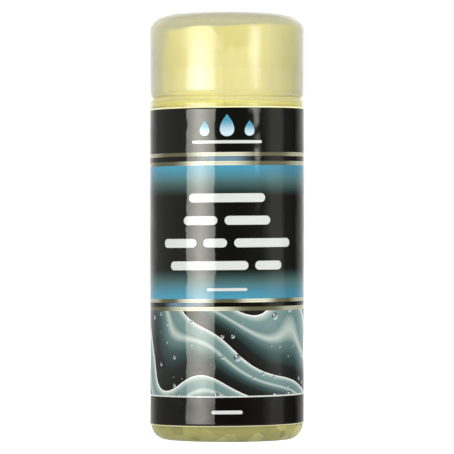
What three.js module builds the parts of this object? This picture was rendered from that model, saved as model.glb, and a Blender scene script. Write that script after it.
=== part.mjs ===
// A round storage tube of frosted plastic that stands upright and holds a folded and rolled chamois.
// It has a push-on cap of the same width and a printed label wrapped round its wall.
// Millimetres, +Z up, the front faces -Y. The origin is the centre of the foot, on the standing surface.
import * as THREE from "three";

// The tube: a thin wall with a rounded foot, a rounded shoulder and a narrower neck.
const tubeRadius = 32.3;
const tubeWall = 1.1;
const baseWall = 1.5;
const footRoundAcross = 6.5;
const footRoundHeight = 7;
const footRingWidth = 6;
const footHollowDepth = 0.6;
const footHollowSlope = 0.8;
const partingHeight = 144.3;
const shoulderRoundAcross = 1.15;
const shoulderRoundHeight = 2.8;
const neckHeight = 12;
const neckWall = 0.9;
const neckChamfer = 0.4;

// The cap: its skirt slides over the neck, and its rim rests on the ledge at the parting line.
const capRise = 35.7;
const capOverhang = 0.2;
const capWall = 1.2;
const capTopWall = 1.3;
const capRoundAcross = 12;
const capRoundHeight = 6.5;
const capSideTaper = 0.08;
const rimRoundHeight = 3.4;
const rimWall = 0.55;
const rimSeatGap = 0.3;
const neckClearance = 0.3;
const skirtOverrun = 1.5;
const skirtTaperHeight = 3;

// The label: a thin strip wrapped slightly askew, which laps over its own start at the back.
const labelThickness = 0.2;
const labelGap = 0.1;
const labelFootMargin = 0.3;
const labelShoulderMargin = 1.9;
const labelLap = 6;
const labelClimb = 5;
const labelSlopeShare = 0.0085;

// The chamois: one sheet folded along its length, then rolled. Unrolled it is about 400 by 300.
const sheetThickness = 2;
const foldGap = 0.4;
const turnGap = 0.7;
const coreRadius = 7.9;
const rollClearance = 0.8;
const rollSeatGap = 0.3;
const rollHeadroom = 3.7;
const shortLayerStep = 43;
const topEdgeSkew = 2.3;
const dogEarAcross = 6;
const dogEarDrop = 7.5;
const freeEdgeOffset = 2.9;
const rollShiftBesideShare = 0.3;
const rollShiftBehindShare = 0.2;

// How finely the round shapes are faceted.
const sidesAround = 64;
const roundSteps = 3;
const labelStepsAround = 64;
const rollStepsPerTurn = 30;
const foldSteps = 2;

// Angles about the vertical axis, from +X towards +Y.
const fullTurn = 2 * Math.PI;
const frontAngle = -Math.PI / 2;

// What follows from the sizes above.
const boreRadius = tubeRadius - shoulderRoundAcross - rimWall - neckClearance - neckWall;
const neckRadius = boreRadius + neckWall;
const skirtRadius = neckRadius + neckClearance;
const partingRadius = skirtRadius + rimWall;
const capRadius = tubeRadius + capOverhang;
const neckTop = partingHeight + neckHeight;
const capTop = partingHeight + capRise;
const rimHeight = partingHeight + rimSeatGap;
const floorHeight = baseWall + footHollowDepth;

// A solid of revolution about +Z, from an outline of (radius, height) points.
function turned(outline) {
  const geometry = new THREE.LatheGeometry(outline.getPoints(roundSteps), sidesAround);
  return geometry.rotateX(Math.PI / 2);
}

// A solid made by carrying a section of (radius, height) points round the axis, with flat ends.
function wrapped(sectionAt, angles) {
  const sections = angles.map(sectionAt);
  const count = sections[0].length;
  const positions = [];
  sections.forEach((section, step) => {
    for (const point of section) {
      positions.push(point.x * Math.cos(angles[step]), point.x * Math.sin(angles[step]), point.y);
    }
  });
  const faces = [];
  for (let step = 0; step < angles.length - 1; step += 1) {
    for (let corner = 0; corner < count; corner += 1) {
      const near = step * count + corner;
      const nearNext = step * count + ((corner + 1) % count);
      faces.push(near, near + count, nearNext + count);
      faces.push(near, nearNext + count, nearNext);
    }
  }
  const lastStart = (angles.length - 1) * count;
  for (const [a, b, c] of THREE.ShapeUtils.triangulateShape(sections[0], [])) {
    faces.push(a, b, c);
  }
  for (const [a, b, c] of THREE.ShapeUtils.triangulateShape(sections[angles.length - 1], [])) {
    faces.push(lastStart + c, lastStart + b, lastStart + a);
  }
  const geometry = new THREE.BufferGeometry();
  geometry.setAttribute("position", new THREE.Float32BufferAttribute(positions, 3));
  geometry.setIndex(faces);
  geometry.computeVertexNormals();
  return geometry;
}

function part(name, geometry, material) {
  const mesh = new THREE.Mesh(geometry, material);
  mesh.name = name;
  return mesh;
}

// The tube's outline, from the hollow under the foot up the outside and down the inside.
function tubeGeometry() {
  const wallRadius = tubeRadius - tubeWall;
  const footCentre = tubeRadius - footRoundAcross;
  const ringInside = footCentre - footRingWidth;
  const hollowRadius = ringInside - footHollowSlope;
  const shoulderCentre = partingHeight - shoulderRoundHeight;
  const outline = new THREE.Path();
  outline.moveTo(0, footHollowDepth);
  outline.lineTo(hollowRadius, footHollowDepth);
  outline.lineTo(ringInside, 0);
  outline.absellipse(footCentre, footRoundHeight, footRoundAcross, footRoundHeight, -Math.PI / 2, 0);
  outline.absellipse(
    partingRadius,
    shoulderCentre,
    shoulderRoundAcross,
    shoulderRoundHeight,
    0,
    Math.PI / 2,
  );
  outline.lineTo(neckRadius, partingHeight);
  outline.lineTo(neckRadius, neckTop - neckChamfer);
  outline.lineTo(neckRadius - neckChamfer, neckTop);
  outline.lineTo(boreRadius, neckTop);
  outline.absellipse(
    boreRadius,
    shoulderCentre - tubeWall,
    wallRadius - boreRadius,
    shoulderRoundHeight,
    Math.PI / 2,
    0,
    true,
  );
  outline.absellipse(
    footCentre,
    footRoundHeight,
    footRoundAcross - tubeWall,
    footRoundHeight - baseWall,
    0,
    -Math.PI / 2,
    true,
  );
  outline.lineTo(ringInside, baseWall);
  outline.lineTo(hollowRadius, floorHeight);
  outline.lineTo(0, floorHeight);
  return turned(outline);
}

// The cap's outline, from its ceiling down the inside and up the outside.
function capGeometry() {
  const innerRadius = capRadius - capWall;
  const roundCentre = capRadius - capRoundAcross;
  const roundBase = capTop - capRoundHeight;
  const skirtTop = neckTop + skirtOverrun;
  const outline = new THREE.Path();
  outline.moveTo(0, capTop - capTopWall);
  outline.lineTo(roundCentre, capTop - capTopWall);
  outline.absellipse(
    roundCentre,
    roundBase,
    capRoundAcross - capWall,
    capRoundHeight - capTopWall,
    Math.PI / 2,
    0,
    true,
  );
  outline.lineTo(innerRadius, skirtTop + skirtTaperHeight);
  outline.lineTo(skirtRadius, skirtTop);
  outline.lineTo(skirtRadius, rimHeight);
  outline.absellipse(
    partingRadius,
    rimHeight + rimRoundHeight,
    capRadius - capSideTaper - partingRadius,
    rimRoundHeight,
    -Math.PI / 2,
    0,
  );
  outline.absellipse(roundCentre, roundBase, capRoundAcross, capRoundHeight, 0, Math.PI / 2);
  outline.lineTo(0, capTop);
  return turned(outline);
}

// The label runs once round from the back, climbs onto its own start and ends just past it.
function labelGeometry() {
  const innerRadius = tubeRadius + labelGap;
  const lapRise = labelThickness + labelGap;
  const climbAngle = labelClimb / innerRadius;
  const lapAngle = labelLap / innerRadius;
  const seamAngle = Math.PI;
  const bottom = footRoundHeight + labelFootMargin;
  const top = partingHeight - shoulderRoundHeight - labelShoulderMargin;
  const fromFront = [];
  for (let step = 0; step <= labelStepsAround; step += 1) {
    fromFront.push(-seamAngle + ((2 * seamAngle - climbAngle) * step) / labelStepsAround);
  }
  fromFront.push(seamAngle, seamAngle + lapAngle / 2, seamAngle + lapAngle);
  const sectionAt = (angle) => {
    const turn = angle - frontAngle;
    const climbed = Math.min(Math.max((turn - seamAngle + climbAngle) / climbAngle, 0), 1);
    const inner = innerRadius + lapRise * climbed;
    const outer = inner + labelThickness;
    const rise = labelSlopeShare * innerRadius * turn;
    return [
      new THREE.Vector2(inner, bottom + rise),
      new THREE.Vector2(outer, bottom + rise),
      new THREE.Vector2(outer, top + rise),
      new THREE.Vector2(inner, top + rise),
    ];
  };
  return wrapped(
    sectionAt,
    fromFront.map((turn) => frontAngle + turn),
  );
}

// The roll: a U-shaped section, tall layer outside, wound outwards from the core to the free edge.
// A spiral is wider where it ends, so its centre lies shares of the pitch beside and behind the tube's.
function rollGeometry() {
  const halfGap = foldGap / 2;
  const halfStack = halfGap + sheetThickness;
  const pitch = 2 * halfStack + turnGap;
  const shiftBeside = pitch * rollShiftBesideShare;
  const shiftBehind = pitch * rollShiftBehindShare;
  const outerMiddle = boreRadius - rollClearance + shiftBehind - halfStack;
  const coreMiddle = coreRadius + halfStack;
  const turns = (outerMiddle - coreMiddle) / pitch;
  const endAngle = frontAngle - freeEdgeOffset / outerMiddle;
  const startAngle = endAngle - turns * fullTurn;
  const earAngle = dogEarAcross / outerMiddle;
  const foldCentre = floorHeight + rollSeatGap + halfStack;
  const topHeight = capTop - capTopWall - rollHeadroom;
  const shortTop = topHeight - shortLayerStep;

  const middleAt = (angle) => outerMiddle - (pitch * (endAngle - angle)) / fullTurn;
  const tallTopAt = (angle) => {
    const eared = Math.max((angle - endAngle + earAngle) / earAngle, 0);
    return topHeight - (topEdgeSkew * (1 - Math.cos(angle))) / 2 - dogEarDrop * eared;
  };
  const sectionAt = (angle) => {
    const middle = middleAt(angle);
    const tallTop = tallTopAt(angle);
    const section = new THREE.Path();
    section.absarc(middle, foldCentre, halfStack, Math.PI, fullTurn);
    section.lineTo(middle + halfStack, tallTop);
    section.lineTo(middle + halfGap, tallTop);
    section.absarc(middle, foldCentre, halfGap, fullTurn, Math.PI, true);
    section.lineTo(middle - halfGap, shortTop);
    section.lineTo(middle - halfStack, shortTop);
    return section.getPoints(foldSteps);
  };

  const angles = [endAngle, endAngle - earAngle];
  const stepAngle = fullTurn / rollStepsPerTurn;
  for (let angle = endAngle - stepAngle; angle > startAngle; angle -= stepAngle) {
    angles.push(angle);
  }
  angles.push(startAngle);
  angles.sort((a, b) => a - b);
  return wrapped(sectionAt, angles).translate(shiftBeside, shiftBehind, 0);
}

const frostedPlastic = new THREE.MeshStandardMaterial({
  color: 0xd8d6b6,
  roughness: 0.4,
  metalness: 0,
  transparent: true,
  opacity: 0.45,
});
const printedFilm = new THREE.MeshStandardMaterial({ color: 0x1b1b17, roughness: 0.15, metalness: 0 });
const chamois = new THREE.MeshStandardMaterial({ color: 0xecdf7c, roughness: 0.9, metalness: 0 });

const storageTube = new THREE.Group();
storageTube.add(part("tube_body", tubeGeometry(), frostedPlastic));
storageTube.add(part("push_on_cap", capGeometry(), frostedPlastic));
storageTube.add(part("wrap_label", labelGeometry(), printedFilm));
storageTube.add(part("chamois_roll", rollGeometry(), chamois));

export default storageTube;
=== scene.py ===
"""A folded and rolled chamois in its frosted storage tube: the looks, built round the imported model.

Metres, +Z up. The front of the label faces -Y, and the tube's foot stands on the floor at the origin.
"""

import math
from types import SimpleNamespace

import bpy
import numpy as np
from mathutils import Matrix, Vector, noise


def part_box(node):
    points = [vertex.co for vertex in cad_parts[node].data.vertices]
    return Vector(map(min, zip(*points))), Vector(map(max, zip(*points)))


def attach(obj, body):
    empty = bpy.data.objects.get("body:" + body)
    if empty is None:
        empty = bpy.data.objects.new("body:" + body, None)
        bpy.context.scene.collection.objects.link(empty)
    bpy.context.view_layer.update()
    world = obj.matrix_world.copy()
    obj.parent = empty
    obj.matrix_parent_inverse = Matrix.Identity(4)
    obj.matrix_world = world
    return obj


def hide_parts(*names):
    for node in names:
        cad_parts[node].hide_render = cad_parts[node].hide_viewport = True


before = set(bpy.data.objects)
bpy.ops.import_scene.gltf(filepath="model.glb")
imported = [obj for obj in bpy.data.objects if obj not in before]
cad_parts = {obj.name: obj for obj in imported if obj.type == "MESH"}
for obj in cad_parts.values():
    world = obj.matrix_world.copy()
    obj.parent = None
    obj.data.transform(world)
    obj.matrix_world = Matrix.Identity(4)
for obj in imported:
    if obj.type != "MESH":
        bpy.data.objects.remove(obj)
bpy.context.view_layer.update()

MM = 0.001
TURN = 2 * math.pi
FRONT = -math.pi / 2

# Where the CAD pieces end, read from the imported model.
TUBE_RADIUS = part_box("tube_body")[1].x
NECK_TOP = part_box("tube_body")[1].z
CAP_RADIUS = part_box("push_on_cap")[1].x
CAP_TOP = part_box("push_on_cap")[1].z
CAP_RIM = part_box("push_on_cap")[0].z
ROLL_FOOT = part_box("chamois_roll")[0].z
ROLL_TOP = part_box("chamois_roll")[1].z

# The tube's own sizes. A round is its reach across and its height.
TUBE_WALL = 1.1 * MM
BASE_WALL = 1.5 * MM
FOOT_ROUND = (6.5 * MM, 7 * MM)
FOOT_RING = 6 * MM
FOOT_HOLLOW = (0.8 * MM, 0.6 * MM)
RIM_GAP = 0.3 * MM
PARTING = CAP_RIM - RIM_GAP
SHOULDER_ROUND = (1.15 * MM, 2.8 * MM)
NECK_WALL = 0.9 * MM
NECK_GAP = 0.3 * MM
GATE_RADIUS = 1.4 * MM
GATE_HEIGHT = 0.25 * MM
TUBE_EDGE = 0.35 * MM

# The cap's own sizes.
CAP_WALL = 1.2 * MM
CAP_TOP_WALL = 1.3 * MM
CAP_ROUND = (12 * MM, 6.5 * MM)
CAP_SIDE_TAPER = 0.08 * MM
RIM_ROUND = 3.4 * MM
RIM_WALL = 0.55 * MM
SKIRT_OVERRUN = 1.5 * MM
SKIRT_TAPER = 3 * MM
CAP_EDGE = 0.25 * MM

PARTING_RADIUS = TUBE_RADIUS - SHOULDER_ROUND[0]
SKIRT_RADIUS = PARTING_RADIUS - RIM_WALL
NECK_RADIUS = SKIRT_RADIUS - NECK_GAP
BORE_RADIUS = NECK_RADIUS - NECK_WALL

# The label: a strip that starts and ends at the back, wrapped slightly askew.
LABEL_FOOT = 6.7 * MM
LABEL_TOP = 140.1 * MM
LABEL_GAP = 0.1 * MM
LABEL_THICKNESS = 0.2 * MM
LABEL_LAP = 6 * MM
LABEL_CLIMB = 5 * MM
LABEL_SLOPE = 0.0085
LABEL_COLUMNS = 300
LABEL_ROWS = 120
LABEL_WAVE = 0.085 * MM
LABEL_WAVE_PER_M = 95
LABEL_RIPPLE_PER_M = 210
LABEL_RIPPLE_SHARE = 0.5
LABEL_OUT_SHARE = 0.6

# The chamois: one sheet folded along its length, then rolled with its tall layer outside.
SHEET_THICKNESS = 2 * MM
FOLD_GAP = 0.4 * MM
TURN_GAP = 0.7 * MM
CORE_RADIUS = 7.9 * MM
ROLL_CLEARANCE = 0.8 * MM
SHIFT_BESIDE_SHARE = 0.3
SHIFT_BEHIND_SHARE = 0.2
SHORT_LAYER_STEP = 43 * MM
FREE_EDGE_OFFSET = 2.9 * MM

CAMERA_DISTANCE = 1.5925
CAMERA_HEIGHT = 0.08735
CAMERA_LENS = 297.4
CAMERA_SENSOR = 36.0
IMAGE_SIDE = 454
HORIZON_DROP = 6


def between(value, low, high):
    """0 below low, 1 above high and a smooth step from one to the other."""
    share = np.clip((value - low) / (high - low), 0, 1)
    return share * share * (3 - 2 * share)


def swell(value, start, full, waning, gone):
    """A smooth rise from start to full, and a smooth fall from waning to gone."""
    return between(value, start, full) * (1 - between(value, waning, gone))


SAME_PLACE = 1e-7
LONGEST_CUT_SHARE = 0.45
ROUND_STEPS = (0, 0.25, 0.5, 0.75, 1)


def arc(centre, radii, start, end, steps=14):
    """Points of an elliptical arc in (radius, height), from start to end in degrees."""
    angles = np.radians(np.linspace(start, end, steps + 1))
    return [(centre[0] + radii[0] * math.cos(a), centre[1] + radii[1] * math.sin(a)) for a in angles]


def softened(outline, radius, sharpest=28):
    """The outline with each corner that turns by more than sharpest degrees rounded off."""
    points = [Vector(p) for p in outline]
    made = [points[0]]
    for before, corner, after in zip(points, points[1:], points[2:]):
        back, ahead = before - corner, after - corner
        if min(back.length, ahead.length) < SAME_PLACE:
            continue
        if math.degrees(math.pi - back.angle(ahead)) < sharpest:
            made.append(corner)
            continue
        cut = min(radius, back.length * LONGEST_CUT_SHARE, ahead.length * LONGEST_CUT_SHARE)
        first, last = corner + back.normalized() * cut, corner + ahead.normalized() * cut
        for share in ROUND_STEPS:
            made.append(first.lerp(corner, share).lerp(corner.lerp(last, share), share))
    return made + [points[-1]]


def finished(name, vertices, faces, crease=40):
    """A smooth mesh object, with edges that turn by more than crease degrees left sharp."""
    mesh = bpy.data.meshes.new(name)
    mesh.from_pydata(vertices, [], faces)
    mesh.validate()
    mesh.shade_smooth()
    mesh.set_sharp_from_angle(angle=math.radians(crease))
    piece = bpy.data.objects.new(name, mesh)
    bpy.context.scene.collection.objects.link(piece)
    return piece


def revolved(name, outline, sides=192):
    """A closed mesh of revolution about Z, from an outline that starts and ends on the axis."""
    rings = outline[1:-1]
    angles = np.arange(sides) * TURN / sides
    vertices = [(p[0] * math.cos(a), p[0] * math.sin(a), p[1]) for p in rings for a in angles]
    first, last = len(vertices), len(vertices) + 1
    vertices += [(0, 0, outline[0][1]), (0, 0, outline[-1][1])]
    faces = []
    for side in range(sides):
        beside = (side + 1) % sides
        faces.append((first, beside, side))
        for ring in range(len(rings) - 1):
            low, high = ring * sides, (ring + 1) * sides
            faces.append((low + side, low + beside, high + beside, high + side))
        top = (len(rings) - 1) * sides
        faces.append((last, top + side, top + beside))
    return finished(name, vertices, faces)


# How far a sheet's edge comes out to a soft ridge, as a share of its thickness.
RIDGE_SHARE = 0.4


def border_of(rows, columns):
    """The places along the edge of a grid, in order round it."""
    border = [(0, j) for j in range(columns)]
    border += [(i, columns - 1) for i in range(1, rows)]
    border += [(rows - 1, j) for j in range(columns - 2, -1, -1)]
    border += [(i, 0) for i in range(rows - 2, 0, -1)]
    return border


def edge_ridge(middle, thickness, border):
    """One point outside each place of the border, level with the sheet's middle."""
    rows, columns = middle.shape[:2]
    ridge = []
    for i, j in border:
        inner = middle[min(max(i, 1), rows - 2), min(max(j, 1), columns - 2)]
        away = middle[i, j] - inner
        ridge.append(middle[i, j] + away / np.linalg.norm(away) * thickness[i, j] * RIDGE_SHARE)
    return ridge


def sheet_faces(rows, columns, border):
    """The faces of a sheet's front and back, and of the ridge that joins them."""
    count = rows * columns
    front = np.arange(count).reshape(rows, columns)
    back = front + count
    faces = []
    for a, b, c, d in zip(
        front[:-1, :-1].flat, front[1:, :-1].flat, front[1:, 1:].flat, front[:-1, 1:].flat
    ):
        faces.append((a, b, c, d))
        faces.append((d + count, c + count, b + count, a + count))
    for step, (i, j) in enumerate(border):
        following = (step + 1) % len(border)
        k, m = border[following]
        here, there = 2 * count + step, 2 * count + following
        faces.append((front[i, j], front[k, m], there, here))
        faces.append((here, there, back[k, m], back[i, j]))
    return faces


def thick_sheet(name, middle, thickness):
    """A closed sheet round a grid of middle points, with edges that come to a soft ridge.

    thickness is one number, or one for each point of the grid.
    """
    rows, columns = middle.shape[:2]
    thickness = np.broadcast_to(thickness, (rows, columns))[..., None]
    normal = np.cross(np.gradient(middle, axis=0), np.gradient(middle, axis=1))
    normal /= np.linalg.norm(normal, axis=2, keepdims=True)
    half = normal * thickness / 2
    border = border_of(rows, columns)
    ridge = edge_ridge(middle, thickness, border)
    vertices = np.vstack([(middle + half).reshape(-1, 3), (middle - half).reshape(-1, 3), ridge])
    return finished(name, vertices.tolist(), sheet_faces(rows, columns, border), crease=180)


def add_flat_map(piece, name, along, across):
    """Gives each corner of a thick sheet the place that its vertex has on the flat sheet."""
    layer = piece.data.uv_layers.new(name=name)
    grid = np.stack(np.meshgrid(along, across, indexing="ij"), axis=2)
    border = [grid[i, j] for i, j in border_of(len(along), len(across))]
    places = np.vstack([grid.reshape(-1, 2), grid.reshape(-1, 2), border])
    corners = np.zeros(len(piece.data.loops), dtype=np.int32)
    piece.data.loops.foreach_get("vertex_index", corners)
    layer.uv.foreach_set("vector", places[corners].astype(np.float32).ravel())


class Tree:
    """The node tree of a material, a world or a light, with short calls for the nodes used here."""

    def __init__(self, owner):
        owner.use_nodes = True
        self.nodes, self.links = owner.node_tree.nodes, owner.node_tree.links

    def first(self, kind):
        return next(node for node in self.nodes if node.type == kind)

    def add(self, kind, **settings):
        made = self.nodes.new("ShaderNode" + kind)
        for name, value in settings.items():
            setattr(made, name, value)
        return made

    def feed(self, socket, value):
        if isinstance(value, bpy.types.NodeSocket):
            self.links.new(value, socket)
        elif hasattr(socket.default_value, "__len__") and len(socket.default_value) == 4:
            socket.default_value = (*value, 1.0)[:4]
        else:
            socket.default_value = value

    def fill(self, node, values):
        """Feeds several of a node's inputs, by name or by number, and gives the node's outputs."""
        for name, value in values.items():
            self.feed(node.inputs[name], value)
        return node.outputs

    def place(self):
        return self.add("TexCoord").outputs["Object"]

    def flat_map(self, name):
        return self.add("UVMap", uv_map=name).outputs[0]

    def axes(self, vector):
        return self.fill(self.add("SeparateXYZ"), {"Vector": vector})

    def shares(self, colour):
        return self.fill(self.add("SeparateColor"), {"Color": colour})

    def maths(self, operation, *values):
        return self.fill(self.add("Math", operation=operation), dict(enumerate(values)))[0]

    def plus(self, first, second):
        return self.maths("ADD", first, second)

    def minus(self, first, second):
        return self.maths("SUBTRACT", first, second)

    def times(self, first, second):
        return self.maths("MULTIPLY", first, second)

    def reach(self, first, second):
        """The length of the way given by two distances at right angles."""
        squares = [self.maths("POWER", each, 2.0) for each in (first, second)]
        return self.maths("SQRT", self.plus(*squares))

    def vector_maths(self, operation, first, second):
        return self.fill(self.add("VectorMath", operation=operation), {0: first, 1: second})[0]

    def step(self, value, low, high, start=0.0, end=1.0):
        """A smooth step of value, from start at low to end at high."""
        made = self.add("MapRange", interpolation_type="SMOOTHSTEP")
        return self.fill(made, dict(enumerate((value, low, high, start, end))))[0]

    def mixed(self, share, first, second):
        return self.fill(self.add("Mix", data_type="RGBA"), {0: share, 6: first, 7: second})[2]

    def ramp(self, value, stops):
        """A shade picked by value from stops of (place, shade), which are in order of their places."""
        made = self.add("ValToRGB")
        self.feed(made.inputs[0], value)
        elements = made.color_ramp.elements
        for index, (place, shade) in enumerate(stops):
            inner = 0 < index < len(stops) - 1
            stop = elements.new(place) if inner else elements[-1 if index else 0]
            stop.position, stop.color = place, (*shade, 1)
        return made.outputs[0]

    def noise(self, vector, scale, detail=2.0, rough=0.5):
        values = {"Vector": vector, "Scale": scale, "Detail": detail, "Roughness": rough}
        return self.fill(self.add("TexNoise"), values)["Fac"]

    def cells(self, values, **settings):
        return self.fill(self.add("TexVoronoi", **settings), values)

    def bump(self, height, distance, strength):
        values = {"Height": height, "Distance": distance, "Strength": strength}
        return self.fill(self.add("Bump"), values)["Normal"]


def material(name):
    """A new material, its tree and its Principled node."""
    made = bpy.data.materials.new(name)
    tree = Tree(made)
    return made, tree, tree.first("BSDF_PRINCIPLED")


# From here on, a smooth step is given as where it starts and ends, then its two levels if not 0 and 1.

FULL_GLOSS = 0.5
GLOSS_FALL = (0.36, 0.58)
PLASTIC_GRAZING_GLOSS = 0.06
FILM_GRAZING_GLOSS = 0.09


def soften_grazing(tree, shader, least):
    """Lets the gloss fall off towards the silhouette, so that no side is washed out by a soft box."""
    facing = tree.add("LayerWeight").outputs["Facing"]
    tree.fill(shader, {"Specular IOR Level": tree.step(facing, *GLOSS_FALL, FULL_GLOSS, least)})


# The frosted plastics: dim and pale shade, clearness, roughness and index of refraction.
PLASTICS = {
    "cap_plastic": ((0.94, 0.93, 0.715), (0.98, 0.97, 0.76), 0.87, 0.20, 1.54),
    "tube_plastic": ((0.92, 0.90, 0.53), (0.95, 0.93, 0.58), 0.90, 0.20, 1.49),
    "neck_plastic": ((0.97, 0.955, 0.77), (0.985, 0.97, 0.81), 0.95, 0.18, 1.12),
    # The rims' plastic is a milkier, paler copy of the tube's: painted light where the rims glow at their
    # edges.
    "rim_plastic": ((0.93, 0.89, 0.50), (0.96, 0.92, 0.56), 0.70, 0.20, 1.49),
    # The shoulder's plastic is a paler, yellower copy of the tube's: painted light.
    "shoulder_plastic": ((0.98, 0.94, 0.43), (1.0, 0.97, 0.47), 0.75, 0.25, 1.4),
    # The foot's plastic is darker: its own thick tint, and painted shade.
    "foot_plastic": ((0.49, 0.47, 0.165), (0.55, 0.53, 0.18), 0.45, 0.25, 1.49),
}
CLOUDS_PER_M = 60.0
HAZE_PER_M = 400.0
HAZE_ROUGHNESS = 0.02
HAZE_SPREAD = (0.2, 0.8)

# Painted light in the thick foot: soft facets of painted light and painted shade, and a painted glow
# towards the floor.
PAINTED_FACETS_PER_M = 190.0
PAINTED_FACET_BLUR = 0.12
FACET_PAINTED_SHADE = (0.43, 0.40, 0.17)
FACET_PAINTED_LIGHT = (0.88, 0.85, 0.40)
PAINTED_SHADE_FACETS = (0.45, 0.0, 0.0, 0.8)
PAINTED_LIGHT_FACETS = (0.52, 0.95, 0.0, 0.8)
FOOT_PAINTED_GLOW = (6 * MM, 1 * MM, 0.0, 0.35)


def foot_painted_light(tree, place, colour):
    """The thick foot's colour with painted light: paler towards the floor, and broken by facets of painted
    shade and painted light.
    """
    values = {"Vector": place, "Scale": PAINTED_FACETS_PER_M, "Smoothness": PAINTED_FACET_BLUR}
    pick = tree.shares(tree.cells(values, feature="SMOOTH_F1")["Color"])
    colour = tree.mixed(tree.step(tree.axes(place)[2], *FOOT_PAINTED_GLOW), colour, FACET_PAINTED_LIGHT)
    colour = tree.mixed(tree.step(pick[0], *PAINTED_SHADE_FACETS), colour, FACET_PAINTED_SHADE)
    return tree.mixed(tree.step(pick[1], *PAINTED_LIGHT_FACETS), colour, FACET_PAINTED_LIGHT)


def frosted_plastic(name):
    """A wall that blurs what is behind it and glows a little by itself, cloudy by a few shades."""
    dim, pale, clearness, roughness, index = PLASTICS[name]
    made, tree, shader = material(name)
    place = tree.place()
    colour = tree.mixed(tree.noise(place, CLOUDS_PER_M, detail=3.0), dim, pale)
    if name == "foot_plastic":
        colour = foot_painted_light(tree, place, colour)
    least, most = roughness - HAZE_ROUGHNESS, roughness + HAZE_ROUGHNESS
    tree.fill(shader, {
        "Base Color": colour,
        "Roughness": tree.step(tree.noise(place, HAZE_PER_M), *HAZE_SPREAD, least, most),
        "IOR": index,
        "Transmission Weight": clearness,
    })
    soften_grazing(tree, shader, PLASTIC_GRAZING_GLOSS)
    return made


# The chamois's shades.
CLOTH_DIM = (0.655, 0.565, 0.13)
CLOTH_PALE = (0.745, 0.66, 0.185)
CLOTH_RAISED = (0.765, 0.69, 0.225)
# Painted light along the free edge and one turn further in.
CLOTH_PAINTED_LIGHT = (0.83, 0.765, 0.39)
# Painted shade over the inner layer beside the free edge's cut-away corner.
CLOTH_PAINTED_SHADE = (0.645, 0.565, 0.115)

# Painted light and shade on it, by the angle unwound from the free edge in radians: a paler stretch along
# the edge and another one turn further in, painted light, and over that one a patch of painted shade with a
# slanting, ragged lower edge.
PAINTED_LIGHT_EDGE = (0.60, 0.15, 0.0, 0.8)
PAINTED_LIGHT_BEYOND = (5.45, 5.80, 0.0, 0.45)
PAINTED_SHADE_FROM = (5.70, 5.85)
MARKS_END = (7.3, 6.9)
PAINTED_SHADE_HEIGHT = (0.2135, 0.2155)
PAINTED_SHADE_SLANT = 0.008
PAINTED_SHADE_RAGGED = 0.012
PAINTED_SHADE_RAGS_PER_M = 160.0
PAINTED_SHADE_STRENGTH = 0.85

# Its surface: how often each feature comes in a metre, and how much it stands out.
MOTTLE_PER_M = 55.0
MOTTLE_SPREAD = (0.3, 0.7)
PORES_PER_M = 1100.0
PORE_RIM = (0.1, 0.55)
GRAIN_PER_M = 2600.0
GRAIN_ROUGHNESS = (0.3, 0.7, 0.82, 0.95)
CREASES_PER_M = 70.0
CREASE_STRETCH = (1.0, 1.0, 0.45)
PORE_DEPTH = -0.6
FINE_SHARE = 0.12
CREASE_SHARE = 4.5
CLOTH_BUMP = 0.7
CLOTH_SHEEN = 0.25


def chamois_shade(tree, place, pores):
    """Mottled yellow with paler rims round its pores, and painted light and painted shade near the free
    edge.
    """
    mottle = tree.step(tree.noise(place, MOTTLE_PER_M, detail=4.0), *MOTTLE_SPREAD)
    colour = tree.mixed(mottle, CLOTH_DIM, CLOTH_PALE)
    colour = tree.mixed(tree.step(pores, *PORE_RIM), colour, CLOTH_RAISED)
    unwound = tree.axes(tree.flat_map("leather"))[0]
    ending = tree.step(unwound, *MARKS_END)
    # Painted light: a paler stretch along the free edge, and another one turn further in.
    beyond = tree.times(tree.step(unwound, *PAINTED_LIGHT_BEYOND), ending)
    painted_light = tree.plus(tree.step(unwound, *PAINTED_LIGHT_EDGE), beyond)
    colour = tree.mixed(painted_light, colour, CLOTH_PAINTED_LIGHT)
    # Painted shade: a darker, yellower patch over the inner layer near the top, beside the free edge's
    # corner.
    rags = tree.noise(place, PAINTED_SHADE_RAGS_PER_M, detail=1.0)
    ragged = tree.maths("MULTIPLY_ADD", rags, PAINTED_SHADE_RAGGED, -PAINTED_SHADE_RAGGED / 2)
    height = tree.plus(tree.plus(tree.axes(place)[2], ragged), tree.times(unwound, PAINTED_SHADE_SLANT))
    painted_shade = tree.times(tree.step(unwound, *PAINTED_SHADE_FROM), tree.step(height, *PAINTED_SHADE_HEIGHT))
    return tree.mixed(tree.times(tree.times(painted_shade, ending), PAINTED_SHADE_STRENGTH), colour, CLOTH_PAINTED_SHADE)


def chamois_height(tree, place, pores, grain):
    """Fine pores and grain, and soft creases that run along the roll."""
    stretched = tree.vector_maths("MULTIPLY", place, CREASE_STRETCH)
    level = tree.noise(stretched, CREASES_PER_M, detail=3.0, rough=0.55)
    creases = tree.maths("ABSOLUTE", tree.minus(level, 0.5))
    fine = tree.plus(tree.times(pores, PORE_DEPTH), grain)
    return tree.plus(tree.times(fine, FINE_SHARE), tree.times(creases, CREASE_SHARE))


def chamois_cloth():
    made, tree, shader = material("chamois_cloth")
    place = tree.place()
    pores = tree.cells({"Vector": place, "Scale": PORES_PER_M}, feature="SMOOTH_F1")["Distance"]
    grain = tree.noise(place, GRAIN_PER_M, detail=3.0)
    tree.fill(shader, {
        "Base Color": chamois_shade(tree, place, pores),
        "Roughness": tree.step(grain, *GRAIN_ROUGHNESS),
        "Sheen Weight": CLOTH_SHEEN,
        "Normal": tree.bump(chamois_height(tree, place, pores, grain), MM, CLOTH_BUMP),
    })
    return made


# The print, in millimetres: across from the label's middle, and up from the floor at the front.
INK = (0.0035, 0.0036, 0.0026)
INK_LOW = (0.003, 0.0025, 0.0015)
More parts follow.
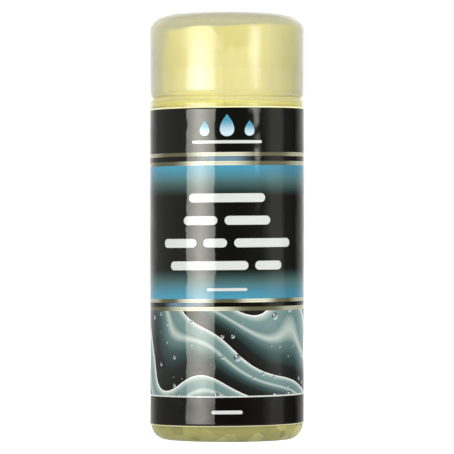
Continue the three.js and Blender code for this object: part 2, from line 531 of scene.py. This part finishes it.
# A painted glint along the film's top and foot edges.
EDGE_GLINT_PAINTED = (0.90, 0.85, 0.50)
PALE = (0.70, 0.72, 0.70)
SKY = (0.070, 0.325, 0.47)
SKY_ASIDE = (0.050, 0.235, 0.36)
DUSK = (0.075, 0.16, 0.155)
GLOW = (0.16, 0.26, 0.33)
GOLD_DARK = (0.10, 0.095, 0.045)
GOLD_LIGHT = (0.80, 0.80, 0.60)
GOLD_CORE = (0.2, 0.2, 0.12)
DROP_FOOT = (0.62, 0.78, 0.84)

# Half the width over which a printed edge blurs.
BLUR = 0.12

# The two skies: where dusk sets in, where it turns to sky, where a gold line ends it, and the ink beyond.
UPPER_SKY = ((102.0, 111.0), (107.5, 116.0), (117.0, 117.4), INK)
LOWER_SKY = ((73.0, 65.0), (68.5, 59.5), (59.2, 58.7), INK_LOW)
SKIES_MEET = (88.1, 87.9)
SKY_CENTRE = -12.0
SKY_FALL = (0.3, 0.9)

# Gold lines: bottom, top, the place of a bright stretch and the distance between bright stretches.
GOLD_LINES = (
    (119.4, 121.0, -2.0, 44.0),
    (115.6, 117.3, -5.0, 50.0),
    (58.4, 59.9, -14.0, 27.0),
    (54.9, 56.6, -11.0, 52.0),
)
GOLD_STRETCH = (-0.9, 0.8)
GOLD_CORE_HALF = 0.25
GOLD_CORE_SHARE = 0.3
GOLD_FADE = (24.0, 36.0, 0.0, 0.5)

# Blue glows between two gold lines: bottom, top and middle.
GLOWS = ((117.3, 119.4, -1.0), (56.6, 58.4, -19.0))
GLOW_FALL = (13.0, 3.0)

PICTURE = (19.5, 54.9)
WHITE_LINE = (18.9, 19.5)
TOP_MARGIN = (139.5, 139.65)
FOOT_MARGIN = (7.1, 6.95)

# Pale bars in place of lettering: middle, height, length and thickness.
BARS = (
    (0.0, 102.0, 33.0, 3.7), (-11.5, 92.6, 15.0, 3.7), (9.0, 92.6, 20.0, 3.7), (-21.5, 83.2, 17.0, 3.7),
    (-5.0, 83.2, 10.0, 3.7), (16.5, 83.2, 27.0, 3.7), (-8.5, 73.8, 35.0, 3.7), (18.5, 73.8, 13.0, 3.7),
    (0.0, 63.8, 17.0, 1.2), (0.0, 12.7, 13.0, 1.5), (0.0, 125.3, 30.0, 1.3),
)
# Water drops over the bars: middle, foot, height and half width.
DROPS = ((0.0, 127.6, 9.2, 3.0), (-9.5, 127.8, 6.4, 2.1), (9.5, 127.8, 6.4, 2.1))
# The drop's outline, sqrt(rise) * (1 - rise), is at its widest 1 / 2.6.
DROP_WIDEST = 2.6
DROP_SHADING = (0.1, 0.8)

# Shades across each of the picture's overlapping folds, from its dark foot to its crisp pale crest.
FOLDS = (
    (0.00, (0.010, 0.009, 0.008)), (0.27, (0.014, 0.018, 0.017)), (0.45, (0.040, 0.080, 0.080)),
    (0.58, (0.125, 0.215, 0.21)), (0.65, (0.50, 0.58, 0.53)), (0.72, (0.145, 0.245, 0.24)),
    (0.88, (0.195, 0.305, 0.295)), (0.965, (0.52, 0.60, 0.56)), (0.98, (0.84, 0.86, 0.80)),
)
FOLDS_ACROSS = 0.020
FOLDS_UP = 0.047
FOLD_DRIFT_PER_MM = 0.026
FOLD_DRIFT = 2.1

# Beads of water on the folds: the size of a bead's cell, and the share of cells that stays dry.
BEADS = ((8.6, 0.62), (4.4, 0.74))
BEAD_SCATTER = 0.55
BEAD_RADIUS = 0.22
SMALLEST_BEAD = 0.001
BEAD_EDGE = (0.9, 1.02, 1.0, 0.0)
BEAD_STRENGTH = 0.85
BEAD_DARK = (0.02, 0.035, 0.035)
BEAD_LIGHT = (0.60, 0.72, 0.70)
BEAD_TILT = (0.5, 0.8)
BEAD_SHADING = (-0.5, 0.95)
SHINE = (0.92, 0.95, 0.92)
SHINE_SPOT = (-0.32, 0.42)
SHINE_EDGE = (0.16, 0.34, 0.95, 0.0)

# The film: its gloss, and the soft waves of its surface.
FILM_INDEX = 1.53
FILM_TINT = (1.0, 1.0, 0.90)
FILM_CLOUDS_PER_M = 30.0
FILM_ROUGHNESS = (0.3, 0.7, 0.05, 0.09)
FILM_WAVES_PER_M = 330.0
FILM_WAVE = 0.04 * MM
FILM_BUMP = 0.6


def band(tree, up, low, high):
    """1 between two heights on the print and 0 elsewhere."""
    over = tree.step(up, low - BLUR, low + BLUR)
    return tree.times(over, tree.step(up, high - BLUR, high + BLUR, 1.0, 0.0))


def aside(tree, spot, middle):
    """How far a spot is from a middle, to either side."""
    return tree.maths("ABSOLUTE", tree.minus(spot.across, middle))


def bar(tree, spot, middle, height, length, thickness):
    """The mask of a rounded bar lying across the label."""
    radius = thickness / 2
    beyond = tree.maths("MAXIMUM", tree.minus(aside(tree, spot, middle), length / 2 - radius), 0.0)
    reach = tree.reach(beyond, tree.minus(spot.up, height))
    return tree.step(reach, radius - BLUR, radius + BLUR, 1.0, 0.0)


def drop(tree, spot, middle, foot, height, half_width):
    """A drop of water, round below and pointed above. Gives its mask and its shade."""
    rise = tree.maths("MULTIPLY_ADD", spot.up, 1 / height, -foot / height)
    rise.node.use_clamp = True
    outline = tree.times(tree.maths("SQRT", rise), tree.minus(1.0, rise))
    gap = tree.minus(aside(tree, spot, middle), tree.times(outline, DROP_WIDEST * half_width))
    inside = tree.step(gap, -BLUR, BLUR, 1.0, 0.0)
    shade = tree.mixed(tree.step(rise, *DROP_SHADING), DROP_FOOT, SKY)
    return tree.times(inside, band(tree, spot.up, foot, foot + height)), shade


def sky_band(tree, up, sky, dusk_from, sky_from, ending, ink):
    """Ink that turns to dusk and then to sky, up to a gold line."""
    colour = tree.mixed(tree.step(up, *dusk_from), INK, DUSK)
    colour = tree.mixed(tree.step(up, *sky_from), colour, sky)
    return tree.mixed(tree.step(up, *ending), colour, ink)


def skies(tree, spot):
    """The black ground with its two skies, which are darker towards the label's sides."""
    round_tube = tree.times(tree.minus(spot.across, SKY_CENTRE), MM / TUBE_RADIUS)
    sky = tree.mixed(tree.step(tree.maths("COSINE", round_tube), *SKY_FALL), SKY_ASIDE, SKY)
    upper = sky_band(tree, spot.up, sky, *UPPER_SKY)
    lower = sky_band(tree, spot.up, sky, *LOWER_SKY)
    return tree.mixed(tree.step(spot.up, *SKIES_MEET), upper, lower)


def gold_line(tree, spot, bottom, top, bright, apart):
    """The shade of a gold line, which brightens in stretches and has a darker core."""
    wave = tree.maths("COSINE", tree.times(tree.minus(spot.across, bright), TURN / apart))
    gold = tree.mixed(tree.step(wave, *GOLD_STRETCH), GOLD_DARK, GOLD_LIGHT)
    middle = (bottom + top) / 2
    core = band(tree, spot.up, middle - GOLD_CORE_HALF, middle + GOLD_CORE_HALF)
    gold = tree.mixed(tree.times(core, GOLD_CORE_SHARE), gold, GOLD_CORE)
    return tree.mixed(tree.step(aside(tree, spot, 0.0), *GOLD_FADE), gold, GOLD_DARK)


def bead(tree, flat, size, dry):
    """Round beads of water, at most one in each cell of that size. Gives their mask and their shade."""
    values = {"Vector": flat, "Scale": 1 / size, "Randomness": BEAD_SCATTER}
    cells = tree.cells(values, voronoi_dimensions="2D")
    wet = tree.step(tree.shares(cells["Color"])[0], dry, 1.0, 0.0, BEAD_RADIUS)
    radius = tree.maths("MAXIMUM", wet, SMALLEST_BEAD)
    mask = tree.step(tree.maths("DIVIDE", cells["Distance"], radius), *BEAD_EDGE)
    lean = tree.axes(tree.vector_maths("SUBTRACT", flat, cells["Position"]))
    reach = tree.times(radius, size)
    x, y = (tree.maths("DIVIDE", lean[i], reach) for i in (0, 1))
    tilt = tree.minus(tree.times(x, BEAD_TILT[0]), tree.times(y, BEAD_TILT[1]))
    shade = tree.mixed(tree.step(tilt, *BEAD_SHADING), BEAD_DARK, BEAD_LIGHT)
    from_shine = tree.reach(tree.minus(x, SHINE_SPOT[0]), tree.minus(y, SHINE_SPOT[1]))
    return mask, tree.mixed(tree.step(from_shine, *SHINE_EDGE), shade, SHINE)


def picture(tree, spot):
    """Overlapping folds of steel and teal with beads of water on them."""
    flat = tree.fill(tree.add("CombineXYZ"), {"X": spot.across, "Y": spot.up})[0]
    drift = tree.times(tree.noise(flat, FOLD_DRIFT_PER_MM, detail=0.0), FOLD_DRIFT)
    slope = tree.plus(tree.times(spot.across, FOLDS_ACROSS), tree.times(spot.up, FOLDS_UP))
    colour = tree.ramp(tree.maths("FRACT", tree.plus(slope, drift)), FOLDS)
    for size, dry in BEADS:
        mask, shade = bead(tree, flat, size, dry)
        colour = tree.mixed(tree.times(mask, BEAD_STRENGTH), colour, shade)
    return colour


def print_shade(tree):
    """The colour of the whole print, one layer over the other."""
    flat = tree.axes(tree.flat_map("print"))
    spot = SimpleNamespace(across=tree.times(flat[0], 1 / MM), up=tree.times(flat[1], 1 / MM))
    colour = skies(tree, spot)
    for bottom, top, middle in GLOWS:
        near = tree.step(aside(tree, spot, middle), *GLOW_FALL)
        colour = tree.mixed(tree.times(band(tree, spot.up, bottom, top), near), colour, GLOW)
    for bottom, top, bright, apart in GOLD_LINES:
        gold = gold_line(tree, spot, bottom, top, bright, apart)
        colour = tree.mixed(band(tree, spot.up, bottom, top), colour, gold)
    colour = tree.mixed(band(tree, spot.up, *PICTURE), colour, picture(tree, spot))
    colour = tree.mixed(band(tree, spot.up, *WHITE_LINE), colour, PALE)
    for sizes in BARS:
        colour = tree.mixed(bar(tree, spot, *sizes), colour, PALE)
    for sizes in DROPS:
        mask, shade = drop(tree, spot, *sizes)
        colour = tree.mixed(mask, colour, shade)
    # Pale margins at the label's top and foot: the film's edge, painted bright as a glint of light.
    margins = [tree.step(spot.up, *margin) for margin in (TOP_MARGIN, FOOT_MARGIN)]
    return tree.mixed(tree.maths("MAXIMUM", *margins), colour, EDGE_GLINT_PAINTED)


def printed_film():
    made, tree, shader = material("printed_film")
    place = tree.place()
    tree.fill(shader, {
        "Base Color": print_shade(tree),
        "Roughness": tree.step(tree.noise(place, FILM_CLOUDS_PER_M), *FILM_ROUGHNESS),
        "IOR": FILM_INDEX,
        "Specular Tint": FILM_TINT,
        "Normal": tree.bump(tree.noise(place, FILM_WAVES_PER_M, detail=3.0), FILM_WAVE, FILM_BUMP),
    })
    soften_grazing(tree, shader, FILM_GRAZING_GLOSS)
    return made


def tube_outline():
    """The tube's outline, from the middle of its underside up its outside and down to the bore's floor."""
    wall = TUBE_RADIUS - TUBE_WALL
    foot = TUBE_RADIUS - FOOT_ROUND[0]
    ring = foot - FOOT_RING
    hollow = ring - FOOT_HOLLOW[0]
    shoulder = PARTING - SHOULDER_ROUND[1]
    floor = BASE_WALL + FOOT_HOLLOW[1]
    outline = [(0, FOOT_HOLLOW[1] - GATE_HEIGHT), (GATE_RADIUS, FOOT_HOLLOW[1] - GATE_HEIGHT)]
    outline += [(GATE_RADIUS + GATE_HEIGHT, FOOT_HOLLOW[1]), (hollow, FOOT_HOLLOW[1]), (ring, 0)]
    outline += arc((foot, FOOT_ROUND[1]), FOOT_ROUND, -90, 0)
    outline += arc((PARTING_RADIUS, shoulder), SHOULDER_ROUND, 0, 90)
    outline += [(NECK_RADIUS, PARTING), (NECK_RADIUS, NECK_TOP), (BORE_RADIUS, NECK_TOP)]
    outline += arc((BORE_RADIUS, shoulder - TUBE_WALL), (wall - BORE_RADIUS, SHOULDER_ROUND[1]), 90, 0)
    inner_round = (FOOT_ROUND[0] - TUBE_WALL, FOOT_ROUND[1] - BASE_WALL)
    outline += arc((foot, FOOT_ROUND[1]), inner_round, 0, -90)
    outline += [(ring, BASE_WALL), (hollow, floor), (0, floor)]
    return softened(outline, TUBE_EDGE)


def cap_outline():
    """The cap's outline, from the middle of its ceiling down its inside and up to the middle of its top."""
    inner = CAP_RADIUS - CAP_WALL
    centre = (CAP_RADIUS - CAP_ROUND[0], CAP_TOP - CAP_ROUND[1])
    skirt_top = NECK_TOP + SKIRT_OVERRUN
    outline = [(0, CAP_TOP - CAP_TOP_WALL)]
    outline += arc(centre, (CAP_ROUND[0] - CAP_WALL, CAP_ROUND[1] - CAP_TOP_WALL), 90, 0)
    outline += [(inner, skirt_top + SKIRT_TAPER), (SKIRT_RADIUS, skirt_top), (SKIRT_RADIUS, CAP_RIM)]
    rim_across = CAP_RADIUS - CAP_SIDE_TAPER - PARTING_RADIUS
    outline += arc((PARTING_RADIUS, CAP_RIM + RIM_ROUND), (rim_across, RIM_ROUND), -90, 0)
    outline += arc(centre, CAP_ROUND, 0, 90)
    outline += [(GATE_RADIUS + GATE_HEIGHT, CAP_TOP), (GATE_RADIUS, CAP_TOP - GATE_HEIGHT)]
    outline += [(0, CAP_TOP - GATE_HEIGHT)]
    return softened(outline, CAP_EDGE)


def label_middle():
    """The label's middle surface as a grid, and its print coordinates."""
    radius = TUBE_RADIUS + LABEL_GAP + LABEL_THICKNESS / 2
    half = math.pi * radius
    across = np.linspace(-half, half + LABEL_LAP, LABEL_COLUMNS)
    up = np.linspace(LABEL_FOOT, LABEL_TOP, LABEL_ROWS)
    climb = between(across, half - LABEL_CLIMB, half) * (LABEL_THICKNESS + LABEL_GAP)
    grid = np.zeros((LABEL_COLUMNS, LABEL_ROWS, 3))
    for i, u in enumerate(across):
        angle = FRONT + u / radius
        side = Vector((math.cos(angle), math.sin(angle), 0))
        for j, v in enumerate(up):
            height = v + u * LABEL_SLOPE
            spot = side * radius + Vector((0, 0, height))
            ripple = LABEL_RIPPLE_SHARE * noise.noise(spot * LABEL_RIPPLE_PER_M)
            wave = noise.noise(spot * LABEL_WAVE_PER_M) + ripple
            away = radius + climb[i] + LABEL_WAVE * (wave + LABEL_OUT_SHARE)
            grid[i, j] = (side.x * away, side.y * away, height)
    return grid, across, up


# How far the upper part of the roll has sprung outwards, in mm, by degrees unwound from the free edge.
LOOSENED = (
    (0, 0.3), (45, 0.8), (90, 0.8), (180, 0.3), (225, 1.4), (270, 2.7), (315, 4.3), (332, 4.7), (345, 4.6),
    (352, 4.1), (361, 3.4), (375, 3.0), (400, 2.8), (450, 1.8), (540, 1.0), (630, 1.4), (720, 1.5),
    (800, 1.0), (1080, 0.2),
)
LOOSE_FROM, LOOSE_TO = 124 * MM, 155 * MM

# The free edge: how far it stands back from its line, by height, both in mm.
FREE_EDGE = ((150, 0.0), (157, 0.3), (161.6, 1.7), (165.4, -1.1), (168, -1.1))
FREE_EDGE_REACH = 7 * MM

# The corner is cut away over a stretch, and bends inwards over one that is longer by CORNER_IN_REACH.
CORNER_ACROSS, CORNER_DROP, CORNER_IN = 5.8 * MM, 7.4 * MM, 0.6 * MM
CORNER_IN_DEPTH = 5 * MM
CORNER_IN_REACH = 1.3

# The sheet's edges thin out: the share left at the very edge, and the way over which it thins.
SIDE_THINNED = (0.25, 5 * MM)
TOP_THINNED = (0.6, 2.5 * MM)

# The fold's line and the two layers' tops are slightly wavy.
FOLD_LIFT, FOLD_WAVE = 0.5 * MM, 1.1 * MM
SHORT_TOP_WAVE, TALL_TOP_WAVE = 1 * MM, 0.5 * MM

# The tall layer's top slopes from front to back, and dips and rises, by degrees unwound.
TOP_SLOPE = 1.15 * MM
TOP_SWELL = 0.9 * MM
TOP_DIP_AT = (31, 40, 58, 100)
TOP_RISE_AT = (44, 60, 95, 130)

# A stretch of the top leans in: the middle and half width in degrees unwound, how far, and from where.
LEAN_AT, LEAN_WIDTH = 92, 34
LEAN_IN = 2.4 * MM
LEAN_BELOW, LEAN_ABOVE = 15 * MM, 3 * MM

# The tall layer eases inwards towards its free edge.
EASE_IN = 0.8 * MM
EASE_IN_REACH = 5 * MM

# The roll is held inside the neck, and a little wider inside the cap.
HELD_RADIUS = 28.1 * MM
HELD_WIDER = 1.1 * MM
HELD_WIDER_FROM, HELD_WIDER_TO = NECK_TOP - 0.5 * MM, NECK_TOP + 2 * MM

# Soft waves of the surface, in mm. The first two fade inwards, and to STILL_SHARE where the roll is tight.
WAVE, RIPPLE, OWN_WAVE = 0.6, 0.25, 0.12
STILL_SHARE = 0.2
WAVE_SPREAD = 1.5

# The mesh: columns round the roll, closer together near the free edge, and rows across the fold.
MAIN_COLUMNS, EDGE_COLUMNS = 290, 24
CLOSE_COLUMNS_REACH = 14 * MM
SHORT_ROWS, FOLD_ROWS, LOWER_ROWS, UPPER_ROWS = 26, 7, 24, 46
UPPER_ROWS_FROM = 118 * MM


def noise_at(*place):
    return noise.noise(Vector(place))


def roll_sizes():
    """The spiral's sizes. Its middle is off the axis by beside and behind, and it turns through length.

    layer is how far each of the fold's two layers lies from the spiral between them.
    """
    half_stack = FOLD_GAP / 2 + SHEET_THICKNESS
    pitch = 2 * half_stack + TURN_GAP
    behind = pitch * SHIFT_BEHIND_SHARE
    outer = BORE_RADIUS - ROLL_CLEARANCE + behind - half_stack
    return SimpleNamespace(
        pitch=pitch,
        beside=pitch * SHIFT_BESIDE_SHARE,
        behind=behind,
        outer=outer,
        end=FRONT - FREE_EDGE_OFFSET / outer,
        length=(outer - (CORE_RADIUS + half_stack)) / pitch * TURN,
        layer=(FOLD_GAP + SHEET_THICKNESS) / 2,
    )


def roll_middle():
    """The rolled sheet's middle surface: across the fold, from the short layer's top to the tall one's."""
    roll = roll_sizes()
    near_edge = CLOSE_COLUMNS_REACH / roll.outer
    main = np.linspace(roll.length, near_edge, MAIN_COLUMNS, endpoint=False)
    unwound = np.concatenate([main, np.linspace(near_edge, 0, EDGE_COLUMNS)])
    middle = np.array([roll_column(roll, angle) for angle in unwound])
    from_side = np.broadcast_to(unwound[:, None] * roll.outer, middle.shape[:2])
    steps = np.linalg.norm(np.diff(middle, axis=1), axis=2)
    along = np.concatenate([np.zeros((len(unwound), 1)), np.cumsum(steps, axis=1)], axis=1)
    thin = thinned(from_side, *SIDE_THINNED) * thinned(along[:, -1:] - along, *TOP_THINNED)
    return middle, SHEET_THICKNESS * thin, unwound, np.linspace(0, 1, middle.shape[1])


def thinned(from_edge, least, reach):
    return least + (1 - least) * between(from_edge, 0, reach)


def fold_line(roll, unwound, tall_top):
    """The sheet across the fold as (offset, height): down the short layer, round, and up the tall one."""
    low = noise_at(unwound * 4, 3.7, 1.2) * FOLD_WAVE + FOLD_LIFT
    fold = ROLL_FOOT + roll.layer + SHEET_THICKNESS / 2 + max(low, 0)
    short_top = ROLL_TOP - SHORT_LAYER_STEP + noise_at(unwound * 2, 8.1, 4.4) * SHORT_TOP_WAVE
    line = [(-roll.layer, z) for z in np.linspace(short_top, fold, SHORT_ROWS, endpoint=False)]
    for turned in np.linspace(0, math.pi, FOLD_ROWS):
        line.append((-roll.layer * math.cos(turned), fold - roll.layer * math.sin(turned)))
    line += [(roll.layer, z) for z in np.linspace(fold, UPPER_ROWS_FROM, LOWER_ROWS, endpoint=False)[1:]]
    line += [(roll.layer, z) for z in np.linspace(UPPER_ROWS_FROM, tall_top, UPPER_ROWS)]
    return line


def tall_layer_top(unwound, angle, from_edge):
    """The tall layer's height: sloping, slightly wavy and cut away at the free edge's corner."""
    degrees = math.degrees(unwound)
    top = ROLL_TOP - TOP_SLOPE * (1 - math.cos(angle)) + TALL_TOP_WAVE * noise_at(unwound * 5, 0.3, 2.2)
    top -= CORNER_DROP * max(0.0, 1 - from_edge / CORNER_ACROSS)
    top -= TOP_SWELL * swell(degrees, *TOP_DIP_AT)
    return top + TOP_SWELL * swell(degrees, *TOP_RISE_AT)


def roll_column(roll, unwound):
    """One line across the fold, at an angle unwound from the free edge."""
    angle = roll.end - unwound
    middle = roll.outer - roll.pitch * unwound / TURN
    from_edge = unwound * middle
    top = tall_layer_top(unwound, angle, from_edge)
    spring = np.interp(math.degrees(unwound), *zip(*LOOSENED)) * MM
    spread = (middle / roll.outer) ** WAVE_SPREAD
    side = Vector((math.cos(angle), math.sin(angle), 0))
    ease_in = (1 - between(from_edge, 0, EASE_IN_REACH)) * EASE_IN
    lean_in = math.exp(-((math.degrees(unwound) - LEAN_AT) / LEAN_WIDTH) ** 2)
    corner_in = math.exp(-(from_edge / CORNER_ACROSS / CORNER_IN_REACH) ** 4)
    near_edge = math.exp(-(from_edge / FREE_EDGE_REACH) ** 2)
    column = []
    for offset, z in fold_line(roll, unwound, top):
        loose = between(z, LOOSE_FROM, LOOSE_TO)
        wave = noise_at(side.x * 1.9, side.y * 1.9, z * 26)
        ripple = noise_at(side.x * 5.5, side.y * 5.5, z * 75 + 9)
        waves = (WAVE * wave + RIPPLE * ripple) * spread * (STILL_SHARE + (1 - STILL_SHARE) * loose) * MM
        away = middle + offset + spring * loose + waves
        away -= ease_in * (offset > 0) + CORNER_IN * between(z, top - CORNER_IN_DEPTH, top) * corner_in
        away += OWN_WAVE * MM * noise_at(unwound * 3.1, z * 55, 5.5)
        away -= LEAN_IN * lean_in * between(z, top - LEAN_BELOW, top + LEAN_ABOVE)
        back = np.interp(z / MM, *zip(*FREE_EDGE)) * MM * near_edge if offset > 0 else 0
        column.append(held_in(roll, away, angle - back / middle, z))
    return column


def held_in(roll, away, angle, z):
    """The place at a distance and angle from the spiral's middle, held inside the neck or the cap."""
    x, y = away * math.cos(angle) + roll.beside, away * math.sin(angle) + roll.behind
    reach = math.hypot(x, y)
    held = min(reach, HELD_RADIUS + HELD_WIDER * between(z, HELD_WIDER_FROM, HELD_WIDER_TO))
    return x * held / reach, y * held / reach, z


# The studio's walls as the object mirrors them: grey by azimuth in degrees, as for the soft boxes below.
WALLS = (
    (-180, 1.10), (-150, 1.15), (-132, 0.95), (-119, 0.56), (-106, 0.36), (-64, 0.36), (-25, 0.12),
    (0, 0.08), (20, 0.08), (54, 0.18), (64, 0.50), (71, 0.78), (88, 0.74), (97, 0.16), (122, 0.10),
    (132, 0.7), (150, 1.1), (180, 1.1),
)
CEILING = (0.6, 0.6, 0.6)
CEILING_FROM = (0.35, 0.7)
GROUND = (0.55, 0.55, 0.52)
GROUND_FROM = (-0.12, -0.4)
SKIRTING_TOP = (-0.025, -0.045)
SKIRTING_FOOT = (-0.14, -0.08)
SKIRTING_SHADE = 0.25
# What the frosted plastics see where nothing is behind them, and what the camera sees.
SEEN_THROUGH = (0.335, 0.335, 0.31)
BLACK = (0.0, 0.0, 0.0)
WHITE = (1.0, 1.0, 1.0)


def world_light():
    """Dim walls of several greys round the object, and plain white behind it for the camera."""
    world = bpy.data.worlds.new("studio")
    bpy.context.scene.world = world
    tree = Tree(world)
    way = tree.axes(tree.add("TexCoord").outputs["Generated"])
    round_about = tree.maths("ARCTAN2", way[0], tree.times(way[1], -1.0))
    share = tree.plus(tree.maths("DIVIDE", round_about, TURN), 0.5)
    colour = tree.ramp(share, [(degrees / 360 + 0.5, (grey, grey, grey)) for degrees, grey in WALLS])
    skirting = tree.times(tree.step(way[2], *SKIRTING_TOP), tree.step(way[2], *SKIRTING_FOOT))
    colour = tree.mixed(tree.times(skirting, SKIRTING_SHADE), colour, BLACK)
    colour = tree.mixed(tree.step(way[2], *CEILING_FROM), colour, CEILING)
    colour = tree.mixed(tree.step(way[2], *GROUND_FROM), colour, GROUND)
    ray = tree.add("LightPath").outputs
    colour = tree.mixed(ray["Is Transmission Ray"], colour, SEEN_THROUGH)
    background = tree.first("BACKGROUND")
    tree.fill(background, {"Color": tree.mixed(ray["Is Camera Ray"], colour, WHITE)})
    tree.links.new(background.outputs[0], tree.first("OUTPUT_WORLD").inputs[0])


# Soft boxes that the object mirrors: azimuth, elevation, distance, width, height, radiance, the height that
# they are centred on, and their brightness at foot, middle and head. Azimuth 0 is the camera's side and 90
# is +X, in degrees.
MIRRORED_BOXES = {
    "key_box": (-40, 0, 1.2, 0.97, 0.40, 11.5, 0.09, (0.45, 0.8, 1.0)),
    "side_strip": (44.5, 0, 1.2, 0.19, 0.06, 4.6, 0.169, (0.0, 1.0, 1.0)),
    "side_box": (41.5, 0, 1.2, 0.42, 0.17, 8.8, 0.282, (0.6, 0.7, 1.5)),
}
# Soft boxes that only brighten it, up to their radiance.
FILL_BOXES = {
    "fill_front": (14, 45, 1.5, 1.8, 1.0, 2.2),
    "fill_left": (-95, 12, 1.5, 1.0, 1.0, 0.55),
    "fill_back": (160, 20, 1.5, 1.4, 1.0, 2.6),
    "fill_back_left": (-145, 20, 1.5, 1.0, 1.0, 1.6),
    "fill_right": (80, 12, 1.5, 1.0, 1.0, 3.0),
}
SIDE_BRIGHTNESS = 0.5


def soft_box(name, azimuth, elevation, distance, width, height, radiance, aim=0.09, fade=None):
    """A flat soft box that faces the object, and is mirrored in it where it has a fade."""
    light = bpy.data.lights.new(name, "AREA")
    light.shape, light.size, light.size_y = "RECTANGLE", width, height
    light.energy = radiance * math.pi * width * height
    box = bpy.data.objects.new(name, light)
    bpy.context.scene.collection.objects.link(box)
    turn, rise = math.radians(azimuth), math.radians(elevation)
    reach = distance * math.cos(rise)
    box.location = (reach * math.sin(turn), -reach * math.cos(turn), aim + distance * math.sin(rise))
    box.rotation_euler = (math.pi / 2 - rise, 0, turn)
    box.visible_camera = box.visible_transmission = False
    box.visible_glossy = fade is not None
    if fade:
        fade_box(light, *fade)


def fade_box(light, foot, middle, head):
    """Grades a soft box's brightness from its foot over its middle to its head, and towards its sides."""
    tree = Tree(light)
    spot = tree.axes(tree.add("NewGeometry").outputs["Parametric"])
    lower = tree.step(spot[1], 0.0, 0.5, foot, middle)
    upper = tree.step(spot[1], 0.5, 1.0, middle, head)
    over = tree.maths("GREATER_THAN", spot[1], 0.5)
    level = tree.plus(tree.times(over, upper), tree.times(tree.minus(1.0, over), lower))
    from_middle = tree.maths("ABSOLUTE", tree.minus(spot[0], 0.5))
    beside = tree.step(from_middle, 0.0, 0.5, 1.0, SIDE_BRIGHTNESS)
    tree.fill(tree.first("EMISSION"), {"Strength": tree.times(level, beside)})


def camera():
    data = bpy.data.cameras.new("camera")
    data.lens, data.sensor_width = CAMERA_LENS, CAMERA_SENSOR
    data.shift_y = HORIZON_DROP / IMAGE_SIDE
    made = bpy.data.objects.new("camera", data)
    bpy.context.scene.collection.objects.link(made)
    made.location = (0, -CAMERA_DISTANCE, CAMERA_HEIGHT)
    made.rotation_euler = (math.pi / 2, 0, 0)
    bpy.context.scene.camera = made


FLOOR_REACH = 5.0
FLOOR_DROP = 0.02 * MM
FLOOR_DIM = (0.80, 0.80, 0.80)
FLOOR_PALE = (0.84, 0.84, 0.84)
FLOOR_CLOUDS_PER_M = 8.0
FLOOR_ROUGHNESS = 0.9
FLOOR_GLOW = 0.75


def studio_floor():
    made, tree, shader = material("studio_floor")
    tree.fill(shader, {
        "Base Color": tree.mixed(tree.noise(tree.place(), FLOOR_CLOUDS_PER_M), FLOOR_DIM, FLOOR_PALE),
        "Roughness": FLOOR_ROUGHNESS,
        "Emission Color": WHITE,
        "Emission Strength": FLOOR_GLOW,
    })
    signs = ((-1, -1), (1, -1), (1, 1), (-1, 1))
    corners = [(x * FLOOR_REACH, y * FLOOR_REACH, -FLOOR_DROP) for x, y in signs]
    floor = finished("studio_floor", corners, [(0, 1, 2, 3)])
    floor.data.materials.append(made)
    floor.visible_diffuse = floor.visible_glossy = floor.visible_transmission = False


# Where each of the tube's zones starts, from its foot up, and the zones' places in its list of materials.
ZONE_STARTS = (LABEL_FOOT + 0.5 * MM, LABEL_TOP - MM, PARTING - 1.2 * MM, PARTING + 0.3 * MM)
ZONE_MATERIALS = (1, 0, 2, 3, 4)
CAP_RIM_ZONE = 1.6 * MM


def paint_zones(tube, cap, plastics):
    """Gives the tube's foot, shoulder, rim and neck, and the cap's rim, plastics of their own; the rims'
    and shoulder's are paler, painted light, and the foot's darker, partly painted shade.
    """
    for name in ("foot_plastic", "shoulder_plastic", "rim_plastic", "neck_plastic"):
        tube.data.materials.append(plastics[name])
    for face in tube.data.polygons:
        zone = sum(face.center.z > start for start in ZONE_STARTS)
        face.material_index = ZONE_MATERIALS[zone]
    cap.data.materials.append(plastics["rim_plastic"])
    for face in cap.data.polygons:
        face.material_index = int(face.center.z < CAP_RIM + CAP_RIM_ZONE)


def dress():
    """Builds the four visible pieces, ties each to its body and hides the CAD node that it stands in for.
    """
    plastics = {name: frosted_plastic(name) for name in PLASTICS}
    film, cloth = printed_film(), chamois_cloth()
    tube = revolved("tube_shell", tube_outline())
    cap = revolved("cap_shell", cap_outline())
    grid, across, up = label_middle()
    label = thick_sheet("printed_label", grid, LABEL_THICKNESS)
    add_flat_map(label, "print", across, up)
    middle, thickness, unwound, over = roll_middle()
    chamois = thick_sheet("chamois_sheet", middle, thickness)
    add_flat_map(chamois, "leather", unwound, over)
    for piece, made, slot, body, node in (
        (tube, plastics["tube_plastic"], "frosted_plastic", "tube", "tube_body"),
        (cap, plastics["cap_plastic"], "frosted_plastic", "cap", "push_on_cap"),
        (label, film, "printed_film", "tube", "wrap_label"),
        (chamois, cloth, "chamois", "chamois", "chamois_roll"),
    ):
        piece.data.materials.append(made)
        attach(piece, body)
        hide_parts(node)
    paint_zones(tube, cap, plastics)
    tube.visible_shadow = cap.visible_shadow = False


camera()
world_light()
for box_name, settings in (MIRRORED_BOXES | FILL_BOXES).items():
    soft_box(box_name, *settings)
studio_floor()
dress()
bpy.context.scene.view_settings.view_transform = "Standard"
